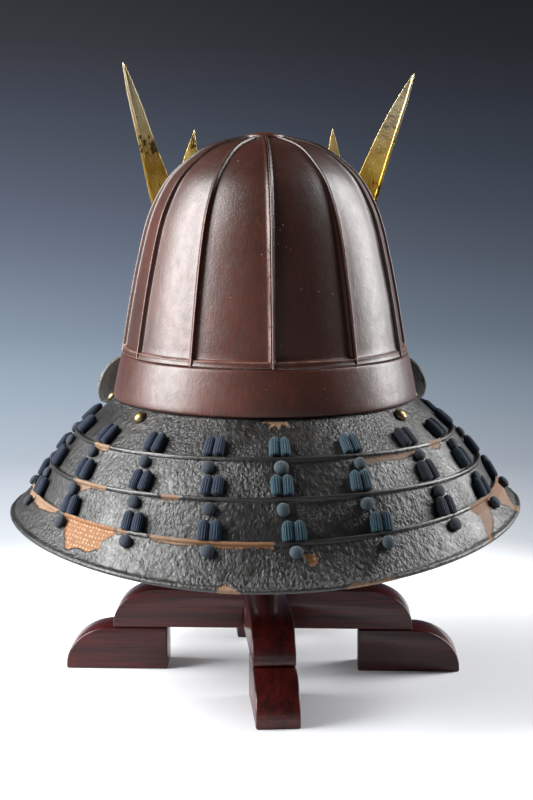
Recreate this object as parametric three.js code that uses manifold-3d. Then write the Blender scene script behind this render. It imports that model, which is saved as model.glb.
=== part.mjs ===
// A kabuto: a ribbed iron helmet bowl with a laced leather neck guard and a gilt crest, on its wooden stand.
// Millimetres, +Z up. The face looks along -Y, so the neck guard hangs at +Y.
import * as THREE from 'three';
import { mergeVertices } from 'three/addons/utils/BufferGeometryUtils.js';
import Module from 'manifold-3d';

const wasm = await Module();
wasm.setup();

// Driving sizes
const gap = 0.3;             // clearance between neighbouring pieces
const longer = 1.05;         // the helmet is this much longer front to back than it is wide
const bowlWall = 2;
const rib = { height: 3.5, crest: 2, foot: 4, shoulder: 1.2 };
const lip = { height: 3, depth: 3.4, runOut: 0.8 };
const crownRadius = 14.5;
const crown = { foot: 381.1, edge: 4.6, shoulder: 5.7, top: 6.2 };
const band = { foot: 201.4, top: 232.1, footRadius: 108.7, topRadius: 102.1, wall: 2.6 };
const peak = { halfAngle: 46, rise: 5, reachSides: 8, reachMiddle: 30, dropSides: 4, dropMiddle: 20 };
const lameWall = 2.4;
const beadDepth = 2.6;       // the rolled bead along the upper edge of a lame
const beadHeight = 1.7;
const tuck = 5;              // how far each lame reaches in behind the next
const lameReach = 128;       // bearing of the lames' front ends, counted from the back of the head
const hem = { width: 5, height: 1.6, rounding: 2 };
const laceWidth = 14;
const laceRise = 6;
const laceLength = 12;
const flapSplay = 4;         // how much further out the right flap is bent than the left one
const knot = { width: 9, rise: 5, from: 4.6, to: 12.2, clear: 2.2 };
const dome = { radius: 4.8, rise: 4, drop: 7.5 };
const crestPlane = -121;     // Y of the middle of the gilt horns
const crestLean = -2.8;      // degrees that the crest leans to the wearer's right
const hornWall = 2;
const rightHornTaller = 1.014;
const rim = { width: 2.2, stand: 2.4 };
const holder = { width: 64, depth: 14, foot: -6, top: 24 };
const beam = { length: 286, width: 29.6, foot: 31.4, top: 60, inset: 34.4, nose: 33, toe: 2 };
const foot = { length: 73.7, nose: 34, toe: 3 };
const acrossTurn = -5;       // degrees that each beam is turned under the helmet
const foreAftTurn = 1.1;
const standOffset = 1.5;     // the helmet sits this far off the middle of its stand
const post = { radius: 13, neck: 330, headTop: 380 };
const tenon = { side: 14, depth: 20 };

// The bowl's outline from its foot to the crown plate, on the plates between the ribs
const bowlOutline = [
  { radius: 99.2, height: 232.4 },
  { radius: 93.1, height: 268.8 },
  { radius: 87.5, height: 297 },
  { radius: 80.5, height: 324.8 },
  { radius: 72.1, height: 345 },
  { radius: 63.2, height: 358.4 },
  { radius: 47.8, height: 371.6 },
  { radius: 34.3, height: 378.3 },
  { radius: crownRadius, height: 382.9 },
];

// Bearings of the twelve ribs; the plates at the back of the head are a little wider than those in front
const ribBearings = [0, 34, 64.5, 93, 121.5, 150.5, 180, 209, 238.5, 268, 297.5, 328];

// Upper edge of each lame, then the hem: height at the back and at the sides, how far the left side droops,
// and how far its bead stands out
const edges = [
  { radius: 106.6, back: 200.8, side: 200.8, droop: 0, beadHeight: 0 },
  { radius: 133.7, back: 180.2, side: 179, droop: 0.6, beadHeight },
  { radius: 152.2, back: 158.4, side: 158.4, droop: 1.6, beadHeight },
  { radius: 164.6, back: 132.9, side: 141, droop: 2.6, beadHeight },
  { radius: 182.7, back: 104.4, side: 122.1, droop: 3, beadHeight: 0 },
];
const lameCount = edges.length - 1;

// Bearings of the lace columns, from the back of the head towards the wearer's right; the hand-laced rows
// don't quite line up
const laceColumns = [
  { first: -123, second: -122, third: -121 },
  { first: -102, second: -101, third: -100 },
  { first: -81, second: -79, third: -77 },
  { first: -59.5, second: -58, third: -56 },
  { first: -37.5, second: -36, third: -34.5 },
  { first: -18, second: -16.3, third: -15.6 },
  { first: 1, second: 1, third: 3.2 },
  { first: 22.6, second: 21.3, third: 23.9 },
  { first: 44, second: 43.6, third: 43.7 },
  { first: 64, second: 63.5, third: 63 },
  { first: 84, second: 84, third: 83 },
  { first: 104, second: 104, third: 103 },
  { first: 123, second: 123, third: 122 },
];

// The brass domes' bearings
const domeBearings = [-103, -51.5, 51.5, 103];

const russetLacquer = { color: 0x4a2a20, roughness: 0.35, metalness: 0.3 };
const leatherBlack = { color: 0x2b2a28, roughness: 0.55, metalness: 0 };
const indigoLace = { color: 0x1f2836, roughness: 0.9, metalness: 0 };
const gilt = { color: 0xb08b3c, roughness: 0.35, metalness: 0.9 };
const brassDome = { color: 0xa98b52, roughness: 0.3, metalness: 0.9 };
const polishedWood = { color: 0x35100f, roughness: 0.3, metalness: 0 };

const kabuto = new THREE.Group();

function addPiece(name, geometry, finish, parent = kabuto) {
  const mesh = new THREE.Mesh(geometry, new THREE.MeshStandardMaterial(finish));
  mesh.name = name;
  parent.add(mesh);
  return mesh;
}

const radians = THREE.MathUtils.degToRad;
const numbered = (name, index) => `${name}_${String(index + 1).padStart(2, '0')}`;

// Place of a point on the oval helmet: bearing in degrees from the back, radius and height
function around(bearing, radius, height) {
  const angle = radians(bearing);
  return new THREE.Vector3(-radius * Math.sin(angle), longer * radius * Math.cos(angle), height);
}

// --- Bodies from rows of points, and booleans ---

// Triangles that fill one closed row, turned to follow its direction
function fillRow(row) {
  const normal = new THREE.Vector3();
  row.forEach((point, i) => {
    normal.add(new THREE.Vector3().crossVectors(point, row[(i + 1) % row.length]));
  });
  normal.normalize();
  const across = new THREE.Vector3().subVectors(row[1], row[0]).projectOnPlane(normal).normalize();
  const up = new THREE.Vector3().crossVectors(normal, across);
  const flat = row.map((point) => new THREE.Vector2(point.dot(across), point.dot(up)));
  return THREE.ShapeUtils.triangulateShape(flat, []).map(([a, b, c]) => {
    const ab = flat[b].clone().sub(flat[a]);
    const ac = flat[c].clone().sub(flat[a]);
    return ab.cross(ac) > 0 ? [a, b, c] : [a, c, b];
  });
}

// Joins closed rows of points into one body; the end rows are filled unless the rows run in a ring
function loft(rows, ring = false) {
  const count = rows[0].length;
  const faces = [];
  const spans = ring ? rows.length : rows.length - 1;
  for (let i = 0; i < spans; i++) {
    const here = i * count;
    const next = ((i + 1) % rows.length) * count;
    for (let j = 0; j < count; j++) {
      const k = (j + 1) % count;
      faces.push([here + j, here + k, next + k], [here + j, next + k, next + j]);
    }
  }
  if (!ring) {
    const last = (rows.length - 1) * count;
    fillRow(rows[0]).forEach(([a, b, c]) => faces.push([a, c, b]));
    fillRow(rows.at(-1)).forEach(([a, b, c]) => faces.push([last + a, last + b, last + c]));
  }
  const points = rows.flat();
  const volume = faces.reduce((sum, [a, b, c]) => {
    return sum + points[a].dot(new THREE.Vector3().crossVectors(points[b], points[c]));
  }, 0);
  const outward = volume > 0 ? faces : faces.map(([a, b, c]) => [a, c, b]);
  const geometry = new THREE.BufferGeometry().setFromPoints(points);
  geometry.setIndex(outward.flat());
  return geometry;
}

function toSolid(geometry) {
  const bare = geometry.clone();
  bare.deleteAttribute('normal');
  bare.deleteAttribute('uv');
  const merged = mergeVertices(bare, 1e-4);
  return new wasm.Manifold(new wasm.Mesh({
    numProp: 3,
    vertProperties: new Float32Array(merged.attributes.position.array),
    triVerts: new Uint32Array(merged.index.array),
  }));
}

function toGeometry(solid) {
  const mesh = solid.getMesh();
  const geometry = new THREE.BufferGeometry();
  geometry.setAttribute('position', new THREE.BufferAttribute(mesh.vertProperties, 3));
  geometry.setIndex(new THREE.BufferAttribute(mesh.triVerts, 1));
  return geometry;
}

// --- Bowl ---

const bowlCurve = new THREE.SplineCurve(bowlOutline.map(({ radius, height }) => new THREE.Vector2(radius, height)));

// A point of the bowl, from 0 at its foot to 1 at the crown plate, standing proud of the plates
function bowlPoint(bearing, climb, proud) {
  const place = bowlCurve.getPointAt(climb);
  const slope = bowlCurve.getTangentAt(climb);
  return around(bearing, place.x + proud * slope.y, place.y - proud * slope.x);
}

// Each plate carries a standing rib on one side, a low shoulder to the next rib, and a raised lip along its foot
function bowlPlate(from, to) {
  const perMm = 1 / bowlCurve.getLength();
  const climbs = [
    { climb: 0, proud: lip.height },
    { climb: lip.depth * perMm, proud: lip.height },
    { climb: (lip.depth + lip.runOut) * perMm, proud: 0 },
    ...[0.22, 0.42, 0.6, 0.74, 0.87, 1].map((climb) => ({ climb, proud: 0 })),
  ];
  const rows = climbs.map(({ climb, proud }) => {
    const degreesPerMm = THREE.MathUtils.radToDeg(1 / bowlCurve.getPointAt(climb).x);
    const start = from + (gap / 2 - rib.crest / 2) * degreesPerMm;
    const end = to - (gap / 2 + rib.crest / 2) * degreesPerMm;
    const field = start + rib.foot * degreesPerMm;
    const fieldEnd = end - (rib.foot - rib.crest) * degreesPerMm;
    const third = THREE.MathUtils.lerp(field, fieldEnd, 1 / 3);
    const twoThirds = THREE.MathUtils.lerp(field, fieldEnd, 2 / 3);
    const outer = [
      bowlPoint(start, climb, rib.height),
      bowlPoint(start + rib.crest * degreesPerMm, climb, rib.height),
      bowlPoint(field, climb, proud),
      bowlPoint(third, climb, proud),
      bowlPoint(twoThirds, climb, proud),
      bowlPoint(fieldEnd, climb, proud),
      bowlPoint(end, climb, Math.max(proud, rib.shoulder)),
    ];
    const inner = [end, twoThirds, third, start].map((bearing) => bowlPoint(bearing, climb, -bowlWall));
    return [...outer, ...inner];
  });
  return loft(rows);
}

ribBearings.forEach((bearing, i) => {
  const next = ribBearings[i + 1] ?? 360;
  addPiece(numbered('bowl_plate', i), bowlPlate(bearing, next), russetLacquer);
});

// Turns a closed outline of radii and heights once round the oval helmet
function ovalRing(outline, segments) {
  const rows = Array.from({ length: segments }, (_, i) => {
    return outline.map(([radius, height]) => around((360 * i) / segments, radius, height));
  });
  return loft(rows, true);
}

function crownPlate() {
  const edge = crownRadius - 2 * gap;
  const profile = [[0, 0], [edge, 0], [edge, crown.edge], [edge * 0.7, crown.shoulder], [0, crown.top]];
  const geometry = new THREE.LatheGeometry(profile.map(([r, h]) => new THREE.Vector2(r, crown.foot + h)), 24);
  geometry.rotateX(Math.PI / 2);
  geometry.scale(1, longer, 1);
  return geometry;
}
addPiece('crown_plate', crownPlate(), russetLacquer);

// The band below the bowl, with rounded edges
addPiece('brow_band', ovalRing([
  [band.topRadius - band.wall, band.top],
  [band.topRadius - 0.5, band.top],
  [band.topRadius, band.top - 0.8],
  [band.footRadius, band.foot + 1.6],
  [band.footRadius - 0.8, band.foot],
  [band.footRadius - band.wall, band.foot + 0.2],
], 40), russetLacquer);

// The peak juts out over the brow, widest at the middle, and dies away at the temples
function browPeak() {
  const steps = 14;
  const root = band.footRadius + 2 * gap;
  const height = band.foot + peak.rise;
  const rows = Array.from({ length: steps + 1 }, (_, i) => {
    const turn = THREE.MathUtils.lerp(-peak.halfAngle, peak.halfAngle, i / steps);
    const middle = Math.cos((turn / peak.halfAngle) * (Math.PI / 2));
    const reach = peak.reachSides + peak.reachMiddle * middle;
    const drop = peak.dropSides + peak.dropMiddle * middle;
    return [
      [root, height],
      [root + reach * 0.5, height - drop * 0.35],
      [root + reach, height - drop],
      [root + reach - 0.6, height - drop - lameWall],
      [root + reach * 0.5, height - drop * 0.35 - lameWall],
      [root, height - lameWall],
    ].map(([radius, z]) => around(180 + turn, radius, z));
  });
  return loft(rows);
}
addPiece('brow_peak', browPeak(), russetLacquer);

// --- Neck guard ---

// Outer edge line of a lame at one bearing, as radius and height
function edgePoint(index, bearing) {
  const { radius, back, side, droop } = edges[index];
  const turn = Math.abs(bearing) < 90 ? Math.sin(radians(bearing)) ** 2 : 1;
  return new THREE.Vector2(radius, back + (side - back) * turn + droop * Math.sin(radians(bearing)));
}

// How far behind its face the next lame up passes a lame's upper edge
const behind = -lameWall - gap;

// One lame at one bearing: its upper edge, the way down its face to where it passes behind the next lame,
// and the way out of its face
function lameFrame(index, bearing) {
  const top = edgePoint(index, bearing);
  const isLast = index + 1 === lameCount;
  const foot = isLast ? edgePoint(lameCount, bearing) : onLame(lameFrame(index + 1, bearing), 0, behind);
  const down = foot.sub(top);
  const length = down.length();
  down.normalize();
  return { top, down, out: new THREE.Vector2(-down.y, down.x), length };
}

// A point on a lame, so far down from its upper edge and so far out of its face
function onLame({ top, down, out }, along, proud) {
  return top.clone().addScaledVector(down, along).addScaledVector(out, proud);
}

// Section of one lame: a rolled bead along the top, and a foot that tucks in behind the lame below
function lameSection(index, bearing) {
  const frame = lameFrame(index, bearing);
  const head = [
    onLame(frame, 0, -lameWall),
    onLame(frame, 0, edges[index].beadHeight),
    onLame(frame, beadDepth, edges[index].beadHeight),
    onLame(frame, beadDepth + 0.8, 0),
  ];
  if (index + 1 === lameCount) {
    return [
      ...head,
      onLame(frame, frame.length - hem.width, 0),
      onLame(frame, frame.length - hem.rounding, hem.height),
      onLame(frame, frame.length, 0),
      onLame(frame, frame.length - 0.6, -lameWall),
    ];
  }
  const below = lameFrame(index + 1, bearing);
  return [
    ...head,
    onLame(below, 0, behind),
    onLame(below, tuck, behind),
    onLame(below, tuck, behind - lameWall),
    onLame(below, 0, behind - lameWall),
  ];
}

for (let i = 0; i < lameCount; i++) {
  const steps = 30;
  const rows = Array.from({ length: steps + 1 }, (_, j) => {
    const bearing = THREE.MathUtils.lerp(-lameReach, lameReach, j / steps);
    return lameSection(i, bearing).map((point) => around(bearing, point.x, point.y));
  });
  addPiece(`neck_lame_${i + 1}`, loft(rows), leatherBlack);
}

// A turned-back flap: the end of the top lame swept forward, out and back beside the band, with a rounded
// free end; the one on the wearer's right is bent further out
function turnedFlap(side, splay) {
  const stations = [0, 0.2, 0.4, 0.58, 0.72, 0.84, 0.93, 0.98, 1];
  const roundFrom = 0.72;
  const upper = new THREE.QuadraticBezierCurve3(
    new THREE.Vector3(85, -79, 199),
    new THREE.Vector3(97 + splay, -97, 226),
    new THREE.Vector3(116.5 + splay, -66, 216),
  );
  const lower = new THREE.QuadraticBezierCurve3(
    new THREE.Vector3(101, -93, 181),
    new THREE.Vector3(119 + splay, -104, 178),
    new THREE.Vector3(125.5 + splay, -70, 189),
  );
  const rows = stations.map((t) => {
    const round = Math.max(0, (t - roundFrom) / (1 - roundFrom));
    const narrowed = (1 - Math.max(0.2, Math.sqrt(1 - round * round))) / 2;
    const high = upper.getPoint(t).lerp(lower.getPoint(t), narrowed);
    const low = lower.getPoint(t).lerp(upper.getPoint(t), narrowed);
    const along = upper.getTangent(t).add(lower.getTangent(t));
    const out = new THREE.Vector3().subVectors(high, low).cross(along).setLength(lameWall / 2);
    return [
      high.clone().add(out),
      high.clone().sub(out),
      low.clone().sub(out),
      low.clone().add(out),
    ].map((point) => new THREE.Vector3(point.x * side, point.y, point.z));
  });
  return loft(rows);
}
addPiece('turned_flap_left', turnedFlap(1, 0), leatherBlack);
addPiece('turned_flap_right', turnedFlap(-1, flapSplay), leatherBlack);

// Brass domes on the top lame, just under the band
function brassDomeGeometry() {
  const arc = Array.from({ length: 5 }, (_, i) => {
    const angle = (i / 4) * (Math.PI / 2);
    return new THREE.Vector2(dome.radius * Math.cos(angle), dome.rise * Math.sin(angle));
  });
  arc[4].x = 0;
  return new THREE.LatheGeometry([new THREE.Vector2(0, 0), ...arc], 10);
}
domeBearings.forEach((bearing, i) => {
  const frame = lameFrame(0, bearing);
  const base = onLame(frame, dome.drop, gap + 0.1);
  const tip = onLame(frame, dome.drop, gap + 1.1);
  const start = around(bearing, base.x, base.y);
  const out = around(bearing, tip.x, tip.y).sub(start).normalize();
  const mesh = addPiece(numbered('brass_dome', i), brassDomeGeometry(), brassDome);
  mesh.position.copy(start);
  mesh.quaternion.setFromUnitVectors(new THREE.Vector3(0, 1, 0), out);
});

// --- Lacing ---

// Section of a column as shares of its width and rise, with a valley between its two strands
const laceSection = [
  { across: -0.5, up: 0 },
  { across: -0.46, up: 0.7 },
  { across: -0.25, up: 1 },
  { across: 0, up: 0.55 },
  { across: 0.25, up: 1 },
  { across: 0.46, up: 0.7 },
  { across: 0.5, up: 0 },
];

// One row of a column: a fat pair of strands above the bead of the lame below, then a knot under that bead
function laceStations(index, bearing) {
  const upper = lameFrame(index, bearing);
  const lower = lameFrame(index + 1, bearing);
  const end = upper.length;
  const start = Math.max(end - laceLength, knot.to + knot.clear);
  const over = beadHeight + 2 * gap;
  return [
    { frame: upper, along: start - 1, proud: gap, width: laceWidth * 0.55, rise: laceRise * 0.4 },
    { frame: upper, along: start + 1, proud: gap, width: laceWidth, rise: laceRise * 0.95 },
    { frame: upper, along: end - 5, proud: gap, width: laceWidth, rise: laceRise },
    { frame: upper, along: end - 2.8, proud: gap, width: laceWidth * 0.85, rise: laceRise * 0.9 },
    { frame: lower, along: -0.6, proud: over, width: 6, rise: 1.6 },
    { frame: lower, along: beadDepth + 1, proud: over, width: 5, rise: 1.4 },
    { frame: lower, along: knot.from, proud: gap, width: knot.width * 0.8, rise: knot.rise * 0.8 },
    { frame: lower, along: (knot.from + knot.to) / 2, proud: gap, width: knot.width, rise: knot.rise },
    { frame: lower, along: knot.to, proud: gap, width: knot.width * 0.6, rise: knot.rise * 0.4 },
  ];
}

function laceColumn({ first, second, third }) {
  const rows = [first, second, third].flatMap((bearing, index) => {
    const turn = radians(bearing);
    const sideways = new THREE.Vector3(-Math.cos(turn), -longer * Math.sin(turn), 0).normalize();
    return laceStations(index, bearing).map(({ frame, along, proud, width, rise }) => {
      return laceSection.map(({ across, up }) => {
        const point = onLame(frame, along, proud + up * rise);
        return around(bearing, point.x, point.y).addScaledVector(sideways, across * width);
      });
    });
  });
  return loft(rows);
}
laceColumns.forEach((column, i) => {
  addPiece(numbered('lace_column', i), laceColumn(column), indigoLace);
});

// --- Crest ---

const crest = new THREE.Group();
const crestFoot = new THREE.Vector3(1, crestPlane, 215);
crest.position.copy(crestFoot);
crest.rotation.y = radians(crestLean);
kabuto.add(crest);

// Outline of one horn, outward and upward from the crest's foot: a long outer prong and a short inner one
function hornOuterEdge() {
  return new THREE.SplineCurve([
    new THREE.Vector2(10, -4),
    new THREE.Vector2(34, 15),
    new THREE.Vector2(64, 58),
    new THREE.Vector2(84, 106),
    new THREE.Vector2(97, 155),
    new THREE.Vector2(108, 196),
    new THREE.Vector2(112.8, 220.5),
  ]);
}

// The horns were cut out by hand and differ in the blade's inner edge, the fork and the short prong's tip
const hornCuts = {
  left: { bow: [97, 192], waist: [86, 162], fork: [70.5, 127], tip: [55.5, 172.5] },
  right: { bow: [94, 192], waist: [82, 162], fork: [67.5, 126], tip: [51.5, 176.5] },
};

function hornShape({ bow, waist, fork, tip }) {
  const shape = new THREE.Shape();
  const outer = hornOuterEdge().getPoints(14);
  shape.moveTo(outer[0].x, outer[0].y);
  outer.slice(1).forEach((point) => shape.lineTo(point.x, point.y));
  shape.lineTo(110.8, 219);
  shape.quadraticCurveTo(...bow, ...waist);
  shape.lineTo(...fork);
  shape.quadraticCurveTo(fork[0] - 1.7, fork[1] - 3, fork[0] - 3, fork[1] + 3);
  shape.quadraticCurveTo(tip[0] + 8, tip[1] - 22, ...tip);
  shape.quadraticCurveTo(tip[0] - 3.5, tip[1] - 18, 49.5, 135);
  shape.bezierCurveTo(49, 88, 32, 42, 4, 8);
  return shape;
}

// A rim stands along the outer edge of the horn's blade
function hornRim() {
  const outer = hornOuterEdge();
  const inner = Array.from({ length: 13 }, (_, i) => {
    const t = 1 - i / 12;
    const place = outer.getPointAt(t);
    const way = outer.getTangentAt(t);
    const width = rim.width * Math.min(1, 0.35 + (1 - t) * 6);
    return new THREE.Vector2(place.x - way.y * width, place.y + way.x * width);
  });
  return new THREE.Shape([...outer.getPoints(14), ...inner]);
}

// The same body on the other side of the helmet
function mirrored(geometry) {
  const copy = geometry.clone().scale(-1, 1, 1);
  const index = copy.index.array;
  for (let i = 0; i < index.length; i += 3) {
    [index[i + 1], index[i + 2]] = [index[i + 2], index[i + 1]];
  }
  return copy;
}

function hornGeometry(cut) {
  const blade = new THREE.ExtrudeGeometry(hornShape(cut), { depth: hornWall, bevelEnabled: false, curveSegments: 5 });
  const edging = new THREE.ExtrudeGeometry(hornRim(), { depth: hornWall + rim.stand, bevelEnabled: false });
  blade.translate(0, 0, rim.stand);
  const geometry = toGeometry(toSolid(blade).add(toSolid(edging)));
  return geometry.rotateX(Math.PI / 2);
}
addPiece('horn_left', hornGeometry(hornCuts.left), gilt, crest);
const rightHorn = mirrored(hornGeometry(hornCuts.right)).scale(1, 1, rightHornTaller);
addPiece('horn_right', rightHorn, gilt, crest);

// The holder is a plain block on the band, which the feet of the horns lie against; its back follows the helmet
function crestHolder() {
  const block = new THREE.BoxGeometry(holder.width, holder.depth, holder.top - holder.foot);
  block.translate(0, gap + holder.depth / 2, (holder.top + holder.foot) / 2);
  const radius = band.footRadius + 1.4;
  const low = band.foot - 20;
  const high = band.top + 30;
  const room = [[0, low], [radius, low], [radius, high], [0, high]];
  const helmet = new THREE.LatheGeometry(room.map(([r, h]) => new THREE.Vector2(r, h)), 48);
  helmet.rotateX(Math.PI / 2);
  helmet.scale(1, longer, 1);
  helmet.translate(0, -crestFoot.y, -crestFoot.z);
  return toGeometry(toSolid(block).subtract(toSolid(helmet)));
}
addPiece('crest_holder', crestHolder(), gilt, crest);

// --- Stand ---

const stand = new THREE.Group();
stand.position.x = standOffset;
kabuto.add(stand);

// Side outline of a bar whose two ends are rounded off to its top
function noseOutline(length, height, nose, toe) {
  const half = length / 2;
  const shape = new THREE.Shape();
  shape.moveTo(-half, 0);
  shape.lineTo(half, 0);
  shape.lineTo(half, toe);
  shape.absellipse(half - nose, toe, nose, height - toe, 0, Math.PI / 2, false);
  shape.absellipse(nose - half, toe, nose, height - toe, Math.PI / 2, Math.PI, false);
  return shape;
}

// The same for a foot block, rounded at its outer end alone
function footOutline() {
  const { length, nose, toe } = foot;
  const top = beam.foot - gap;
  const shape = new THREE.Shape();
  shape.moveTo(0, 0);
  shape.lineTo(length, 0);
  shape.lineTo(length, toe);
  shape.absellipse(length - nose, toe, nose, top - toe, 0, Math.PI / 2, false);
  shape.lineTo(0, top);
  return shape;
}

// Extrudes a side outline to the beam's width, standing upright along X
function upright(shape, width = beam.width) {
  const geometry = new THREE.ExtrudeGeometry(shape, { depth: width, bevelEnabled: false, curveSegments: 6 });
  return geometry.translate(0, 0, -width / 2).rotateX(Math.PI / 2);
}

function blockAt(width, depth, low, high) {
  return new THREE.BoxGeometry(width, depth, high - low).translate(0, 0, (low + high) / 2);
}

// The bars are halved where they cross: the upper half is left of one and the lower half of the other
const barLength = beam.length - 2 * beam.inset;
const barHeight = beam.top - beam.foot;
const halving = beam.foot + barHeight / 2;
const acrossAngle = radians(acrossTurn);
const foreAftAngle = radians(90 + foreAftTurn);

function barGeometry(angle, otherAngle, cutLow, cutHigh) {
  const bar = upright(noseOutline(barLength, barHeight, beam.nose, beam.toe)).translate(0, 0, beam.foot);
  bar.rotateZ(angle);
  const notch = blockAt(barLength * 2, beam.width + 2 * gap, cutLow, cutHigh).rotateZ(otherAngle);
  const mortise = blockAt(tenon.side + 2 * gap, tenon.side + 2 * gap, beam.top - tenon.depth - gap, beam.top + 5);
  return toGeometry(toSolid(bar).subtract(toSolid(notch)).subtract(toSolid(mortise)));
}
addPiece('beam_across', barGeometry(acrossAngle, foreAftAngle, 0, halving + gap / 2), polishedWood, stand);
addPiece('beam_fore_aft', barGeometry(foreAftAngle, acrossAngle, halving - gap / 2, 100), polishedWood, stand);

const feet = [
  { name: 'foot_left', angle: acrossAngle },
  { name: 'foot_right', angle: acrossAngle + Math.PI },
  { name: 'foot_back', angle: foreAftAngle },
  { name: 'foot_front', angle: foreAftAngle + Math.PI },
];
feet.forEach(({ name, angle }) => {
  const geometry = upright(footOutline()).translate(beam.length / 2 - foot.length, 0, 0);
  addPiece(name, geometry.rotateZ(angle), polishedWood, stand);
});

// The post stands in the crossing and carries the bowl on a round head
function postGeometry() {
  const shoulder = beam.top + gap;
  const profile = [
    [0, shoulder],
    [post.radius, shoulder],
    [post.radius, post.neck],
    [40, 352],
    [42, 358],
    [37, 368],
    [22, 376.5],
    [0, post.headTop],
  ];
  const turned = new THREE.LatheGeometry(profile.map(([r, h]) => new THREE.Vector2(r, h)), 20);
  turned.rotateX(Math.PI / 2);
  const peg = blockAt(tenon.side, tenon.side, beam.top - tenon.depth, shoulder + 5);
  return toGeometry(toSolid(turned).add(toSolid(peg)));
}
addPiece('post', postGeometry(), polishedWood, stand);

// The origin is on the ground under the middle of the whole object
const extent = new THREE.Box3().setFromObject(kabuto, true);
const middle = extent.getCenter(new THREE.Vector3());
kabuto.position.set(-middle.x, -middle.y, -extent.min.z);

export default kabuto;
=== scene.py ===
# Russet iron helmet with a laced leather neck guard and a gilt crest, on a wooden cross stand
import bpy
import math
import random
from mathutils import Matrix, Vector, noise


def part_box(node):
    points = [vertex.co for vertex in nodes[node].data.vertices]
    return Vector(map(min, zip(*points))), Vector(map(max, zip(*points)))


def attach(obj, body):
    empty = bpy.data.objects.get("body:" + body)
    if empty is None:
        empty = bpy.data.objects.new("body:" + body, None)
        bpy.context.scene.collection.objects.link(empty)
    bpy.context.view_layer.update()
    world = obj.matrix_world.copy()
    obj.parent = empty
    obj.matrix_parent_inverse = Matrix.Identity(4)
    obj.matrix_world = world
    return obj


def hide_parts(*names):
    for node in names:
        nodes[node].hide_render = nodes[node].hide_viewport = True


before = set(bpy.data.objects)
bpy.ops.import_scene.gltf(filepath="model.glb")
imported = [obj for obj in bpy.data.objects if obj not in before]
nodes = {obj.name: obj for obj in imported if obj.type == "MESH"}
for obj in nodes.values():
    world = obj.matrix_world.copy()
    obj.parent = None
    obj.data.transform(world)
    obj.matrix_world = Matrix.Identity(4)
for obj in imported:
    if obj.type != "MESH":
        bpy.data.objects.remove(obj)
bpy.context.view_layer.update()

mm = 0.001
longer = 1.05  # the helmet is this much longer front to back than it is wide
bandLow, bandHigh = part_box("brow_band")
axisY = (bandLow.y + bandHigh.y) / 2  # upright axis of the helmet
print("frame loaded:", len(nodes), "nodes")


def around(bearing, radius, height):
    # a place on the oval helmet: bearing in degrees from the back, radius and height in mm
    turn = math.radians(bearing)
    back = longer * radius * math.cos(turn)
    return Vector((-radius * math.sin(turn) * mm, back * mm + axisY, height * mm))


def between(a, b, share):
    return a + (b - a) * share


def smoothStep(value, low, high):
    share = min(1.0, max(0.0, (value - low) / (high - low)))
    return share * share * (3 - 2 * share)


def bumpy(spot, size, seed=0.0):
    # soft noise between -1 and 1 with lumps of this size in mm
    return noise.noise(Vector(spot) / (size * mm) + Vector((seed, seed * 0.7, -seed)))


def readTable(table, value):
    # straight line between the rows of a two-column table
    if value <= table[0][0]:
        return table[0][1]
    for (lowKey, low), (highKey, high) in zip(table, table[1:]):
        if value <= highKey:
            return between(low, high, (value - lowKey) / (highKey - lowKey))
    return table[-1][1]


def smoothLine(points, count):
    # evenly spaced points on a smooth line through the given ones
    points = [Vector(p) for p in points]
    fine = []
    for k in range(len(points) - 1):
        before, start, end, after = (points[max(0, min(len(points) - 1, k + n))] for n in (-1, 0, 1, 2))
        for s in range(24):
            t = s / 24
            v0, v1 = (end - before) / 2, (after - start) / 2
            fine.append((2 * t**3 - 3 * t**2 + 1) * start + (t**3 - 2 * t**2 + t) * v0
                        + (3 * t**2 - 2 * t**3) * end + (t**3 - t**2) * v1)
    fine.append(points[-1])
    reach = [0.0]
    for a, b in zip(fine, fine[1:]):
        reach.append(reach[-1] + (b - a).length)
    line = []
    k = 0
    for n in range(count):
        goal = reach[-1] * n / (count - 1)
        while k < len(fine) - 2 and reach[k + 1] < goal:
            k += 1
        line.append(fine[k].lerp(fine[k + 1], (goal - reach[k]) / (reach[k + 1] - reach[k])))
    return line


def openEdit(piece, mode="VERT"):
    bpy.ops.object.select_all(action="DESELECT")
    piece.select_set(True)
    bpy.context.view_layer.objects.active = piece
    bpy.ops.object.mode_set(mode="EDIT")
    bpy.ops.mesh.select_mode(type=mode)


def closeEdit():
    bpy.ops.object.mode_set(mode="OBJECT")


def finishMesh(piece, angle=40, recalculate=True):
    # doubles merged, faces outwards, soft shading below the angle
    openEdit(piece)
    bpy.ops.mesh.select_all(action="SELECT")
    bpy.ops.mesh.remove_doubles(threshold=0.02 * mm)
    if recalculate:
        bpy.ops.mesh.normals_make_consistent(inside=False)
    closeEdit()
    bpy.ops.object.shade_smooth_by_angle(angle=math.radians(angle))
    return piece


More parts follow.
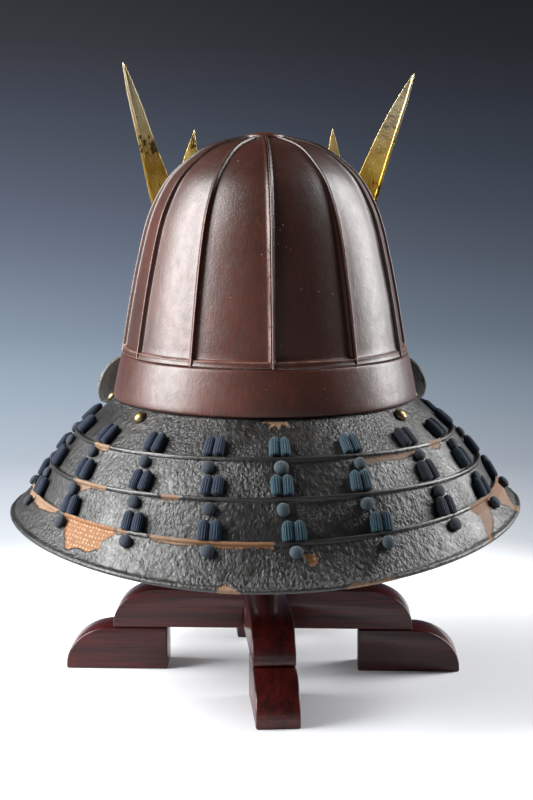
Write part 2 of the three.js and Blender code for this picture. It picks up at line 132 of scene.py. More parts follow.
def layGrid(name, columns, rows, place, closed=False, angle=40):
    # a grid laid where place(column, row) says, with what it tells of each point; closed makes a capped tube
    bpy.ops.object.select_all(action="DESELECT")
    bpy.ops.mesh.primitive_grid_add(x_subdivisions=columns, y_subdivisions=rows, size=1)
    piece = bpy.context.object
    piece.name = piece.data.name = name
    told = {}
    for vertex in piece.data.vertices:
        i = round((vertex.co.x + 0.5) * columns)
        j = round((vertex.co.y + 0.5) * rows)
        vertex.co, facts = place(i, j)
        for key, value in facts.items():
            told.setdefault(key, {})[vertex.index] = value
    for key, values in told.items():
        isPlace = isinstance(next(iter(values.values())), tuple)
        kept = piece.data.attributes.new(key, "FLOAT_VECTOR" if isPlace else "FLOAT", "POINT")
        for index, value in values.items():
            if isPlace:
                kept.data[index].vector = value
            else:
                kept.data[index].value = value
    if closed:
        openEdit(piece)
        bpy.ops.mesh.select_all(action="SELECT")
        bpy.ops.mesh.remove_doubles(threshold=0.01 * mm)
        bpy.ops.mesh.select_all(action="DESELECT")
        bpy.ops.mesh.select_non_manifold()
        bpy.ops.mesh.fill_holes(sides=0)
        closeEdit()
    return finishMesh(piece, angle)


def joinPieces(name, pieces):
    bpy.ops.object.select_all(action="DESELECT")
    for piece in pieces:
        piece.select_set(True)
    bpy.context.view_layer.objects.active = pieces[0]
    if len(pieces) > 1:
        bpy.ops.object.join()
    joined = bpy.context.object
    joined.name = joined.data.name = name
    return joined


def settle(piece):
    # place, turn and scale go into the mesh
    bpy.ops.object.select_all(action="DESELECT")
    piece.select_set(True)
    bpy.context.view_layer.objects.active = piece
    bpy.ops.object.transform_apply(location=True, rotation=True, scale=True)
    return piece


def applyModifier(piece, kind, **settings):
    bpy.ops.object.select_all(action="DESELECT")
    piece.select_set(True)
    bpy.context.view_layer.objects.active = piece
    modifier = piece.modifiers.new(kind.title(), kind)
    for key, value in settings.items():
        setattr(modifier, key, value)
    bpy.ops.object.modifier_apply(modifier=modifier.name)


def turned(name, profile, steps, centre=(0, 0), stretch=1.0):
    # a profile of radius and height in mm, spun once round an upright axis
    bpy.ops.object.select_all(action="DESELECT")
    bpy.ops.mesh.primitive_plane_add(size=0.001)
    piece = bpy.context.object
    piece.name = piece.data.name = name
    openEdit(piece)
    bpy.ops.mesh.select_all(action="SELECT")
    bpy.ops.mesh.merge(type="CENTER")
    spots = [Vector((r * mm, 0, h * mm)) for r, h in profile]
    bpy.ops.transform.translate(value=spots[0])
    for a, b in zip(spots, spots[1:]):
        bpy.ops.mesh.extrude_region_move(TRANSFORM_OT_translate={"value": b - a})
    bpy.ops.mesh.select_all(action="SELECT")
    bpy.ops.mesh.spin(steps=steps, angle=2 * math.pi, center=(0, 0, 0), axis=(0, 0, 1))
    bpy.ops.mesh.select_all(action="SELECT")
    bpy.ops.mesh.remove_doubles(threshold=0.02 * mm)
    bpy.ops.transform.resize(value=(1, stretch, 1), center_override=(0, 0, 0))
    bpy.ops.transform.translate(value=(centre[0], centre[1], 0))
    bpy.ops.mesh.normals_make_consistent(inside=False)
    closeEdit()
    bpy.ops.object.shade_smooth_by_angle(angle=math.radians(40))
    return piece


def copyNode(node, name):
    # a copy of a CAD node with its loose triangles merged and its flat faces joined
    piece = nodes[node].copy()
    piece.data = nodes[node].data.copy()
    piece.parent = None
    for key in list(piece.keys()):
        del piece[key]
    piece.name = piece.data.name = name
    bpy.context.scene.collection.objects.link(piece)
    piece.data.materials.clear()
    openEdit(piece)
    bpy.ops.mesh.select_all(action="SELECT")
    bpy.ops.mesh.customdata_custom_splitnormals_clear()
    bpy.ops.mesh.remove_doubles(threshold=0.02 * mm)
    bpy.ops.mesh.dissolve_limited(angle_limit=math.radians(1))
    bpy.ops.mesh.select_all(action="DESELECT")
    closeEdit()
    return piece


def dress(piece, material, slot, *replaced):
    piece.data.materials.clear()
    piece.data.materials.append(material)
    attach(piece, "root")
    if replaced:
        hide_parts(*replaced)
    return piece


def colour(code):
    # sRGB hex to the linear values that shaders take
    def linear(part):
        value = int(part, 16) / 255
        return value / 12.92 if value <= 0.04045 else ((value + 0.055) / 1.055) ** 2.4
    return (linear(code[1:3]), linear(code[3:5]), linear(code[5:7]), 1)


def fill(tree, node, inputs):
    # inputs come in order or by name: what another node gives is linked, and a value is set
    for socket, source in inputs.items() if isinstance(inputs, dict) else enumerate(inputs):
        if isinstance(source, bpy.types.NodeSocket):
            tree.links.new(source, node.inputs[socket])
        else:
            node.inputs[socket].default_value = source


def addNode(tree, kind, inputs, output=0, **settings):
    # a shader node with its settings and inputs, and the output that is passed on
    node = tree.nodes.new("ShaderNode" + kind)
    for key, value in settings.items():
        setattr(node, key, value)
    fill(tree, node, inputs)
    return node.outputs[output]


def newMaterial(name):
    # the material, its tree and shader, and the object's own coordinates in mm
    material = bpy.data.materials.new(name)
    material.use_nodes = True
    tree = material.node_tree
    whole = addNode(tree, "TexCoord", {}, "Object")
    place = addNode(tree, "Mapping", {"Vector": whole, "Scale": (1 / mm, 1 / mm, 1 / mm)})
    return material, tree, tree.nodes["Principled BSDF"], place


# settings that many nodes share; a colour mix takes its share at 0 and its colours at 6 and 7, and gives at 2
smooth = {"interpolation_type": "SMOOTHSTEP"}
times, plus, larger, onTop = ({"operation": word} for word in ("MULTIPLY", "ADD", "MAXIMUM", "MULTIPLY_ADD"))
tint = {"data_type": "RGBA"}


def layOver(tree, under, pattern, spans, over):
    # one colour laid over another: the pattern's values that it runs between, and its shares there
    share = addNode(tree, "MapRange", [pattern, *spans], **smooth)
    return addNode(tree, "Mix", {0: share, 6: under, 7: over}, 2, **tint)


def lacquerMaterial():
    # urushi lacquer brushed over iron and rubbed down: satin red brown, pale along the ribs as wear and
    # painted highlight, darker towards the crown as painted shade
    material, tree, shader, place = newMaterial("russet urushi lacquer")
    wearAndPaintedLight, toneAndPaintedShade = (addNode(tree, "Attribute", {}, "Fac", attribute_name=word) for word in ("wearAndPaintedLight", "toneAndPaintedShade"))
    clouds, mottle, scarce, flakes, peel, dents = (
        addNode(tree, "TexNoise", {"Vector": place, "Scale": 1 / size, "Detail": detail, "Roughness": rough})
        for size, detail, rough in ((55, 3, 0.55), (7, 4, 0.6), (26, 2, 0.55), (3.4, 3, 0.6),
                                    (1.5, 2, 0.5), (9, 2, 0.5)))
    stretched = (addNode(tree, "Mapping", {"Vector": place, "Scale": (1 / width, 1 / width, 1 / height)})
                 for width, height in ((1.6, 38), (1.1, 14), (20, 30)))
    brushing, strokes, uneven = (
        addNode(tree, "TexNoise", {"Vector": spot, "Scale": 1, "Detail": 3, "Roughness": rough})
        for spot, rough in zip(stretched, (0.55, 0.6, 0.6)))
    flecks = addNode(tree, "TexVoronoi", {"Vector": place, "Scale": 1 / 6})

    tone = layOver(tree, colour("#33150a"), clouds, (0.3, 0.7), colour("#4a1f11"))
    tone = layOver(tree, tone, mottle, (0.35, 0.8, 0, 0.5), colour("#260f07"))
    tone = layOver(tree, tone, brushing, (0.5, 0.8, 0, 0.4), colour("#672f1c"))
    # darker by the plate's tone attribute: each plate's own tone, painted shade towards the crown and on the
    # back right plates, and the upper ribs rubbed black and in painted shade
    tone = addNode(tree, "Mix", {0: toneAndPaintedShade, 6: tone, 7: colour("#1f0c05")}, 2, **tint)

    dot = addNode(tree, "MapRange", [flecks, 0.05, 0.09, 0.7, 0], **smooth)
    patch = addNode(tree, "MapRange", [scarce, 0.5, 0.58], **smooth)
    share = addNode(tree, "Math", [dot, patch], **times)
    tone = addNode(tree, "Mix", {0: share, 6: tone, 7: colour("#a98c7e")}, 2, **tint)

    # pale along the rib crests and lip edges: rubbed wear and a painted highlight
    crest = addNode(tree, "MapRange", [wearAndPaintedLight, 0.2, 1], **smooth)
    patch = addNode(tree, "MapRange", [uneven, 0.3, 0.65, 0.1, 0.6], **smooth)
    rubbedAndHighlit = addNode(tree, "Math", [crest, patch], **times)
    tone = addNode(tree, "Mix", {0: rubbedAndHighlit, 6: tone, 7: colour("#a58478")}, 2, **tint)

    patch = addNode(tree, "MapRange", [flakes, 0.62, 0.66], **smooth)
    crest = addNode(tree, "MapRange", [wearAndPaintedLight, 0.2, 0.6], **smooth)
    chips = addNode(tree, "Math", [patch, crest], **times)
    share = addNode(tree, "Math", [chips, 0.85], **times)
    tone = addNode(tree, "Mix", {0: share, 6: tone, 7: colour("#1d0f0b")}, 2, **tint)

    relief = addNode(tree, "Math", [peel, 0.09], **times)
    for layer, height in ((dents, 0.16), (strokes, 0.045), (chips, -0.15)):
        relief = addNode(tree, "Math", [layer, height, relief], **onTop)
    fill(tree, shader, {
        "Base Color": tone,
        "Roughness": addNode(tree, "MapRange", [mottle, 0.3, 0.7, 0.36, 0.45]),
        "IOR": 1.55,
        "Normal": addNode(tree, "Bump", {"Height": relief, "Distance": mm}),
    })
    return material


def leatherMaterial():
    # rawhide lacquered black: pebbled and crinkled, torn in places down to the tan hide and an amber coat
    material, tree, shader, place = newMaterial("black lacquered rawhide")
    bead, pale, tornBy, amberBy, stained = (addNode(tree, "Attribute", {}, "Fac", attribute_name=word)
                                            for word in ("wearAndPaintedLight", "pale", "torn", "amber", "stain"))
    lie = addNode(tree, "Attribute", {}, "Vector", attribute_name="lie")
    dotted = addNode(tree, "Mapping", {"Vector": lie, "Scale": (1 / mm, 1 / mm, 1 / mm)})
    squat, wrinkled, stringy = (
        addNode(tree, "Mapping", {"Vector": place, "Scale": (1 / width, 1 / width, 1 / height)})
        for width, height in ((2.3, 2.8), (2, 3.2), (1.6, 6)))
    clouds, mottle, calms, specks, tatters, fibres, blots, coat = (
        addNode(tree, "TexNoise", {"Vector": place, "Scale": 1 / size, "Detail": detail, "Roughness": rough})
        for size, detail, rough in ((34, 4, 0.55), (4, 4, 0.65), (40, 2, 0.55), (1.3, 2, 0.55), (2, 5, 0.75),
                                    (5, 4, 0.6), (2.4, 4, 0.7), (6, 3, 0.55)))
    crinkle, strings = (
        addNode(tree, "TexNoise", {"Vector": spot, "Scale": 1, "Detail": 4, "Roughness": rough,
                                   "Distortion": swirl})
        for spot, rough, swirl in ((wrinkled, 0.6, 0.9), (stringy, 0.7, 0)))
    pebbles = addNode(tree, "TexVoronoi", {"Vector": squat, "Scale": 1, "Smoothness": 0.5},
                      feature="SMOOTH_F1")
    dots = addNode(tree, "TexVoronoi", {"Vector": dotted, "Scale": 1 / 3.0, "Randomness": 0.3})

    tone = layOver(tree, colour("#0f0e0d"), clouds, (0.35, 0.7), colour("#1c1a18"))
    tone = layOver(tree, tone, mottle, (0.45, 0.75, 0, 0.5), colour("#272420"))
    tone = layOver(tree, tone, crinkle, (0.54, 0.74, 0, 0.5), colour("#38342e"))
    tone = layOver(tree, tone, specks, (0.68, 0.76, 0, 0.4), colour("#6b655b"))
    # paler along the bead crests and the hem, as wear and a painted highlight
    tone = layOver(tree, tone, bead, (0.4, 1, 0, 0.3), colour("#2a2724"))
    # painted light: the turned flaps paled by the pale attribute, the left one most
    tone = addNode(tree, "Mix", {0: pale, 6: tone, 7: colour("#8a8780")}, 2, **tint)

    grain = addNode(tree, "Math", [pebbles, -0.45, crinkle], **onTop)
    calm = addNode(tree, "MapRange", [calms, 0.36, 0.6, 0.4, 1], **smooth)
    field = addNode(tree, "MapRange", [bead, 0.2, 0.9, 1, 0.15], **smooth)
    for ease in (calm, field):
        grain = addNode(tree, "Math", [grain, ease], **times)

    # the bare hide, stained along the third line, and the amber ground with its rows of dots
    hide = addNode(tree, "Mix", {0: fibres, 6: colour("#5c4330"), 7: colour("#8a6c51")}, 2, **tint)
    hide = layOver(tree, hide, strings, (0.5, 0.7, 0, 0.6), colour("#3f291c"))
    stain = addNode(tree, "Mix", {0: blots, 6: colour("#4a2e18"), 7: colour("#855a32")}, 2, **tint)
    hide = layOver(tree, hide, stained, (0, 1), stain)
    ground = addNode(tree, "Mix", {0: coat, 6: colour("#643818"), 7: colour("#83562c")}, 2, **tint)
    ground = layOver(tree, ground, dots, (0.16, 0.38, 0.7, 0), colour("#a8906c"))

    # each torn place has a ragged edge with a dark rim, a painted shadow of the torn layer's edge
    ragged = addNode(tree, "MapRange", [tatters, 0.25, 0.75, -1.9, 1.9])
    bare = 0.0
    for inside, under in ((tornBy, hide), (amberBy, ground)):
        edge = addNode(tree, "Math", [inside, ragged], **plus)
        hole = addNode(tree, "MapRange", [edge, 0, 0.4], **smooth)
        tone = layOver(tree, tone, edge, (-1.1, -0.1, 0, 0.9), colour("#120d0a"))
        tone = addNode(tree, "Mix", {0: hole, 6: tone, 7: under}, 2, **tint)
        bare = addNode(tree, "Math", [bare, hole], **larger)

    gloss = addNode(tree, "MapRange", [mottle, 0.3, 0.7, 0.32, 0.46])
    matt = addNode(tree, "Math", [bare, 0.75], **times)
    covered = addNode(tree, "MapRange", [bare, 0, 1, 1, 0.25], **smooth)
    skin = addNode(tree, "Math", [grain, covered], **times)
    skin = addNode(tree, "Math", [bare, -0.5, skin], **onTop)
    fill(tree, shader, {
        "Base Color": tone,
        "Roughness": addNode(tree, "Math", [gloss, matt], **larger),
        "IOR": 1.52,
        "Normal": addNode(tree, "Bump", {"Height": skin, "Distance": mm}),
    })
    return material


def laceMaterial(name, purple, navy, teal, fadedAndLit, crestLitShare):
    # braided silk lace dyed with indigo: matt, ribbed lengthwise, each length faded to its own shade, with
    # painted shade in the furrows and a painted highlight on the rib crests
    material, tree, shader, place = newMaterial(name)
    dyed, ribbed = (addNode(tree, "Attribute", {}, "Fac", attribute_name=word) for word in ("dye", "wearAndPaintedLight"))
    fuzz = addNode(tree, "TexNoise", {"Vector": place, "Scale": 1 / 0.9, "Detail": 3, "Roughness": 0.7})
    shades = addNode(tree, "TexNoise", {"Vector": place, "Scale": 1 / 9, "Detail": 2, "Roughness": 0.55})
    drift = addNode(tree, "MapRange", [shades, 0.3, 0.7, -0.12, 0.12])
    dye = addNode(tree, "Math", [dyed, drift], **plus)
    tangle = addNode(tree, "MapRange", [fuzz, 0.3, 0.7, -0.3, 0.2])
    crest = addNode(tree, "Math", [ribbed, tangle], **plus)
    tone = layOver(tree, colour(purple), dye, (0, 0.4), colour(navy))
    tone = layOver(tree, tone, dye, (0.55, 1), colour(teal))
    # painted shade in the furrows between the ribs
    valley = addNode(tree, "Mix", {0: 1, 6: tone, 7: colour("#6a6a70")}, 2, blend_type="MULTIPLY", **tint)
    # painted highlight: the crest colour laid on the rib crests
    lit = addNode(tree, "Mix", {0: crestLitShare, 6: tone, 7: colour(fadedAndLit)}, 2, **tint)
    tone = layOver(tree, valley, crest, (0.1, 0.6), tone)
    fill(tree, shader, {
        "Base Color": layOver(tree, tone, crest, (0.6, 1.05), lit),
        "Roughness": 0.85,
        "Specular IOR Level": 0.3,
        "Sheen Weight": 0.08,
        "Sheen Roughness": 0.5,
        "Normal": addNode(tree, "Bump", {"Height": fuzz, "Distance": 0.25 * mm}),
    })
    return material


def giltMaterial(name, tarnish, foot):
    # leaf gilding over copper: a warm mirror, paler towards the tips, tarnished in a belt and at its foot
    material, tree, shader, place = newMaterial(name)
    height = addNode(tree, "SeparateXYZ", [place], "Z")
    tall = addNode(tree, "Mapping", {"Vector": place, "Scale": (1 / 5, 1 / 5, 1 / 9)})
    spots = addNode(tree, "TexNoise", {"Vector": tall, "Scale": 1, "Detail": 5, "Roughness": 0.7})
    clouds, pinpricks, hammered = (
        addNode(tree, "TexNoise", {"Vector": place, "Scale": 1 / size, "Detail": detail, "Roughness": rough})
        for size, detail, rough in ((16, 4, 0.6), (1.6, 4, 0.7), (5, 3, 0.55)))
    tone = layOver(tree, colour("#b98d30"), clouds, (0.3, 0.7), colour("#dfbe62"))
    tone = layOver(tree, tone, height, (360, 410, 0, 0.6), colour("#e2d8bd"))

    soft = 12  # mm over which the tarnished belt begins and ends
    above = addNode(tree, "MapRange", [height, tarnish[0], tarnish[0] + soft, 0, 0.16], **smooth)
    below = addNode(tree, "MapRange", [height, tarnish[1] - soft, tarnish[1], 1, 0], **smooth)
    belt = addNode(tree, "Math", [above, below], **times)
    base = addNode(tree, "MapRange", [height, foot[0], foot[1], 0.22, 0], **smooth)
    for amount in (belt, base):
        spots = addNode(tree, "Math", [spots, amount], **plus)
    dark = addNode(tree, "MapRange", [spots, 0.62, 0.7], **smooth)
    fine = addNode(tree, "MapRange", [pinpricks, 0.6, 0.68, 0, 0.7], **smooth)
    dark = addNode(tree, "Math", [dark, fine], **larger)
    share = addNode(tree, "Math", [dark, 0.9], **times)
    dull = addNode(tree, "Math", [dark, 0.6, clouds], **onTop)
    relief = addNode(tree, "Math", [dark, -0.25, hammered], **onTop)
    fill(tree, shader, {
        "Base Color": addNode(tree, "Mix", {0: share, 6: tone, 7: colour("#2e1c0a")}, 2, **tint),
        "Metallic": 1,
        "Roughness": addNode(tree, "MapRange", [dull, 0.3, 1.1, 0.24, 0.6]),
        "Normal": addNode(tree, "Bump", {"Height": relief, "Distance": 0.35 * mm}),
    })
    return material


def brassMaterial():
    # cast brass rivet heads, handled smooth, darker in blotches
    material, tree, shader, place = newMaterial("aged brass")
    blotch = addNode(tree, "TexNoise", {"Vector": place, "Scale": 1 / 3, "Detail": 4, "Roughness": 0.6})
    fill(tree, shader, {
        "Base Color": layOver(tree, colour("#8d7f60"), blotch, (0.35, 0.7), colour("#5c4d2c")),
        "Metallic": 1,
        "Roughness": addNode(tree, "MapRange", [blotch, 0.3, 0.7, 0.25, 0.5]),
    })
    return material


def woodMaterial(name, turn, sizes=(46, 1.9, 1.9)):
    # rosewood, planed and varnished: red-brown, with dark streaks of these sizes in mm along the bar
    material, tree, shader, place = newMaterial(name)
    along = addNode(tree, "Mapping", {"Vector": place, "Rotation": (0, 0, -math.radians(turn))})
    streaks = addNode(tree, "Mapping", {"Vector": along, "Scale": [1 / size for size in sizes]})
    grain = addNode(tree, "TexNoise", {"Vector": streaks, "Scale": 1, "Detail": 5, "Roughness": 0.6,
                                       "Distortion": 0.4})
    broad = addNode(tree, "TexNoise", {"Vector": streaks, "Scale": 1 / 5, "Detail": 2, "Roughness": 0.55})
    tone = layOver(tree, colour("#2c0b09"), broad, (0.35, 0.65), colour("#48130f"))
    tone = layOver(tree, tone, grain, (0.45, 0.7, 0, 0.85), colour("#120404"))
    fill(tree, shader, {
        "Base Color": layOver(tree, tone, grain, (0.2, 0.4, 0.5, 0), colour("#62201a")),
        "Roughness": addNode(tree, "MapRange", [grain, 0.3, 0.7, 0.3, 0.42]),
        "Specular IOR Level": 0.25,
        "Coat Weight": 0.3,
        "Coat Roughness": 0.08,
        "Normal": addNode(tree, "Bump", {"Height": grain, "Distance": 0.05 * mm}),
    })
    return material


russetLacquer = lacquerMaterial()
blackLeather = leatherMaterial()
indigoLace = laceMaterial("indigo silk lace", "#14121c", "#182036", "#1c3a44", "#4c6a7a", 0.35)
fadedLace = laceMaterial("faded indigo knots", "#23272f", "#2c333d", "#364449", "#5f6a70", 0.5)
giltLeft = giltMaterial("worn gilding left", (365, 392), (250, 270))
giltRight = giltMaterial("worn gilding right", (330, 340), (335, 360))
agedBrass = brassMaterial()
woodAcross = woodMaterial("varnished rosewood across", -5)
woodForeAft = woodMaterial("varnished rosewood fore and aft", 91.1)
woodUpright = woodMaterial("varnished rosewood upright", 0, (1.9, 1.9, 46))
print("materials ready")


bowl = {
    # radius and height on the plates, from their foot to the crown
    "outline": [(99.2, 232.4), (93.1, 268.8), (87.5, 297), (80.5, 324.8), (72.1, 345),
                (63.2, 358.4), (47.8, 371.6), (34.3, 378.3), (14.5, 382.9)],
    "ribBearings": [0, 34, 64.5, 93, 121.5, 150.5, 180, 209, 238.5, 268, 297.5, 328, 360],
    "wall": 2.0,
    "gap": 0.3,
    "crest": 2.0,  # width of a rib's crest
    # how far the plate stands out, by the distance from its ribbed edge, its plain edge and its foot
    "rib": [(0, 2.5), (0.15, 3.05), (0.4, 3.4), (0.7, 3.5), (1.0, 3.42), (1.3, 3.0), (1.6, 2.1), (1.9, 1.1),
            (2.25, 0.4), (2.8, 0.1), (3.6, 0)],
    "shoulder": [(0, 0.9), (0.3, 1.2), (0.9, 1.0), (1.6, 0.5), (2.4, 0.12), (3.2, 0)],
    "lip": [(0, 1.5), (0.3, 2.3), (0.7, 2.7), (1.2, 2.6), (1.8, 2.3), (2.7, 2.25), (3.4, 2.4), (3.9, 2.4),
            (4.3, 1.9), (4.7, 1.0), (5.2, 0.3), (6.2, 0)],
    "shades": [0.5, 0.35, 0.1, 0.3, 0, 0.3, 0.1, 0.2, 0, 0.25, 0.1, 0.05],  # how much darker each plate is: its own tone, deepened as painted shade on the two at the back right
    "upRows": 46,
    "fieldColumns": 12,
    "innerColumns": 10,
    "waviness": 0.22,
    "roughness": 0.12,  # of the ribs and the lip
    "fullWidth": 9.5,  # plates narrower than this have narrower ribs
    # heights in mm up the outline between which the ribs flatten and are painted dark (rubbed black and
    # painted shade), the plates darken towards the crown as painted shade, and the ribs lose their pale
    # crests of wear and painted highlight
    "flattens": (95, 150),
    "darkens": (105, 150),
    "paleCrestsFade": (100, 140),
    "lipMiddle": 2.3,
}
bowlSteps = 399
bowlLine = smoothLine([(r, h, 0) for r, h in bowl["outline"]], bowlSteps + 1)
bowlLength = sum((b - a).length for a, b in zip(bowlLine, bowlLine[1:]))


def bowlSpot(bearing, climb, proud):
    # radius and place of a point so many mm up the bowl's outline from its foot, and so many mm out of it
    k = min(bowlSteps - 0.001, max(0.0, climb / bowlLength * bowlSteps))
    here, after = bowlLine[int(k)], bowlLine[int(k) + 1]
    spot = here.lerp(after, k - int(k))
    way = (after - here).normalized()
    return spot.x, around(bearing, spot.x + proud * way.y, spot.y - proud * way.x)


def bowlPlate(index):
    # one plate from its ribbed edge to its plain one, round both edges and along its inside
    start, end = bowl["ribBearings"][index], bowl["ribBearings"][index + 1]
    climbs = [s for s, _ in bowl["lip"]]
    climbs += [between(climbs[-1], bowlLength, (k + 1) / bowl["upRows"]) for k in range(bowl["upRows"])]
    nearRib = [s for s, _ in bowl["rib"]]
    nearEnd = [s for s, _ in bowl["shoulder"]][::-1]
    fields = bowl["fieldColumns"]
    outerCount = len(nearRib) + fields - 1 + len(nearEnd)
    columns = outerCount + bowl["innerColumns"]

    def place(i, j):
        climb = climbs[j]
        radius, _ = bowlSpot(0, climb, 0)
        degreesPerMm = math.degrees(1 / radius)
        low = start + (bowl["gap"] / 2 - bowl["crest"] / 2) * degreesPerMm
        far = end - (bowl["gap"] / 2 + bowl["crest"] / 2) * degreesPerMm
        width = (far - low) / degreesPerMm
        squeeze = min(1.0, width / bowl["fullWidth"])
        if i >= outerCount and i < columns:
            share = (i - outerCount) / (bowl["innerColumns"] - 1)
            return bowlSpot(between(far, low, share), climb, -bowl["wall"])[1], {"wearAndPaintedLight": 0.0, "toneAndPaintedShade": 0.0}
        i = i % columns
        if i < len(nearRib):
            across = nearRib[i] * squeeze
        elif i < len(nearRib) + fields - 1:
            share = (i - len(nearRib) + 1) / fields
            across = between(nearRib[-1] * squeeze, width - nearEnd[0] * squeeze, share)
        else:
            across = width - nearEnd[i - len(nearRib) - fields + 1] * squeeze
        fromEnd = (width - across) / squeeze
        high = smoothStep(climb, *bowl["flattens"])
        rib = readTable(bowl["rib"], across / squeeze) * between(1, 0.5, high)
        shoulder = readTable(bowl["shoulder"], fromEnd) * between(1, 0.6, high)
        rest = max(shoulder, readTable(bowl["lip"], climb))
        proud = max(rib, rest)
        bearing = low + across * degreesPerMm
        _, spot = bowlSpot(bearing, climb, 0)
        edge = smoothStep(proud, 0.2, 1.2)
        proud += bumpy(spot, 34, 3) * bowl["waviness"] * (1 - edge)
        proud += bumpy(spot, 8, 9) * bowl["roughness"] * edge
        # rib crests painted pale as wear and painted highlight, fainter on the back right plate
        wearAndPaintedLight = smoothStep(rib, 3.2, 3.48) * (0.35 if index == 0 else 1)
        if index == 11:  # beside the middle rib at the back the plain edge is the one painted pale, as wear and painted highlight
            wearAndPaintedLight = max(wearAndPaintedLight, smoothStep(shoulder, 0.75, 1.1))
        wearAndPaintedLight *= between(1, 0.3, smoothStep(climb, *bowl["paleCrestsFade"]))
        if climb < 5:  # the lip is painted pale along its two edges, as wear and painted highlight
            wearAndPaintedLight = max(wearAndPaintedLight, smoothStep(abs(climb - bowl["lipMiddle"]), 1.2, 1.6) * 0.75)
        # painted shade: the plates darken towards the crown, and the flattened ribs near it are painted dark
        # as rubbed black and painted shade
        toneAndPaintedShade = between(bowl["shades"][index], 0.75, 0.8 * smoothStep(climb, *bowl["darkens"]))
        toneAndPaintedShade = max(toneAndPaintedShade, smoothStep(rib, 0.4, 1.2) * high)
        return bowlSpot(bearing, climb, proud)[1], {"wearAndPaintedLight": wearAndPaintedLight, "toneAndPaintedShade": toneAndPaintedShade * (1 - wearAndPaintedLight)}

    return layGrid(f"bowl_{index + 1:02d}", columns, len(climbs) - 1, place, closed=True, angle=50)


for index in range(12):
    dress(bowlPlate(index), russetLacquer, "russet_lacquer", f"bowl_plate_{index + 1:02d}")

crown = {
    "low": 381.1,
    "radius": 13.9,
    # from the rim to the middle: how far in from the radius, and how far above the foot
    "outline": [(0.5, 0), (0, 0.6), (0, 3.4), (0.5, 4.2), (1.4, 4.6), (2.6, 4.2), (4, 4.4), (6.9, 5.4),
                (10.4, 5.95), (13.9, 6.1)],
}
crownLine = [(0, crown["low"])]
crownLine += [(crown["radius"] - inwards, crown["low"] + up) for inwards, up in crown["outline"]]
crownCap = turned("crown_cap", crownLine, 72, (0, axisY), longer)
dress(crownCap, russetLacquer, "russet_lacquer", "crown_plate")

band = {"foot": 201.4, "top": 232.1, "footRadius": 108.7, "topRadius": 102.1, "wall": 2.6, "steps": 160}


def browBand():
    foot, top, wall = band["foot"], band["top"], band["wall"]

    def face(share, inset=0.0):
        # the face swells a little between its edges
        swell = 0.35 * math.sin(math.pi * share)
        radius = between(band["footRadius"], band["topRadius"], share)
        return radius + swell - inset, between(foot, top, share)

    inner, outer = band["topRadius"] - wall, band["topRadius"] - 0.9
    profile = [(inner, top), (outer, top), face(0.992, 0.25), face(0.97)]
    profile += [face(1 - k / 12) for k in range(1, 11)]
    profile += [face(0.06), face(0.03, 0.2), face(0.012, 0.6)]
    profile += [(band["footRadius"] - 1.3, foot + 0.05), (band["footRadius"] - wall, foot + 0.2)]
    profile.append((inner, top))
    piece = turned("band", profile, band["steps"], (0, axisY), longer)
    for vertex in piece.data.vertices:
        out = Vector((vertex.co.x, vertex.co.y - axisY, 0)).normalized()
        vertex.co += out * bumpy(vertex.co, 42, 5) * 0.3 * mm
    wearAndPaintedLight = piece.data.attributes.new("wearAndPaintedLight", "FLOAT", "POINT")
    for vertex in piece.data.vertices:
        height = vertex.co.z / mm
        upper = 0.45 * smoothStep(height, top - 1.2, top - 0.3)
        lower = 0.35 * smoothStep(-height, -foot - 1.5, -foot - 0.5)
        wearAndPaintedLight.data[vertex.index].value = upper + lower
    return piece


dress(browBand(), russetLacquer, "russet_lacquer", "brow_band")

peak = {
    "halfAngle": 46,
    "rise": 5,
    "reachSides": 8,
    "reachMiddle": 30,
    "dropSides": 4,
    "dropMiddle": 20,
    "wall": 2.4,
    "rim": 0.7,  # half the rim's thickness
}


def browPeak():
    columns, rows = 48, 40
    face, fold = 20, 8  # columns of the upper face and round its rim; the rest lead back under it

    def place(i, j):
        turn = between(-peak["halfAngle"], peak["halfAngle"], j / rows)
        middle = math.cos(turn / peak["halfAngle"] * math.pi / 2)
        reach = peak["reachSides"] + peak["reachMiddle"] * middle
        drop = peak["dropSides"] + peak["dropMiddle"] * middle
        root = band["footRadius"] + 0.6
        top = band["foot"] + peak["rise"]
        i = i % columns

        def lie(share, under):
            height = top - drop * (0.7 * share + 0.3 * share * share)
            rim = 0.5 * smoothStep(share, 0.9, 0.97)
            return root + (reach - peak["rim"]) * share, height + (rim if not under else -peak["wall"])

        if i <= face:
            share = i / face
            radius, height = lie(share, False)
            wearAndPaintedLight = 0.6 * smoothStep(share, 0.93, 1)
        elif i < face + fold:
            swing = math.pi * (i - face) / fold
            high, low = lie(1, False)[1], lie(1, True)[1]
            radius = root + reach - peak["rim"] * (1 - math.sin(swing))
            height = (high + low) / 2 + (high - low) / 2 * math.cos(swing)
            wearAndPaintedLight = 0.7
        else:
            share = 1 - (i - face - fold) / (columns - 1 - face - fold)
            radius, height = lie(share, True)
            wearAndPaintedLight = 0.0
        return around(180 + turn, radius, height), {"wearAndPaintedLight": wearAndPaintedLight}

    return layGrid("peak", columns, rows, place, closed=True)


dress(browPeak(), russetLacquer, "russet_lacquer", "brow_peak")
print("bowl, band and peak made")


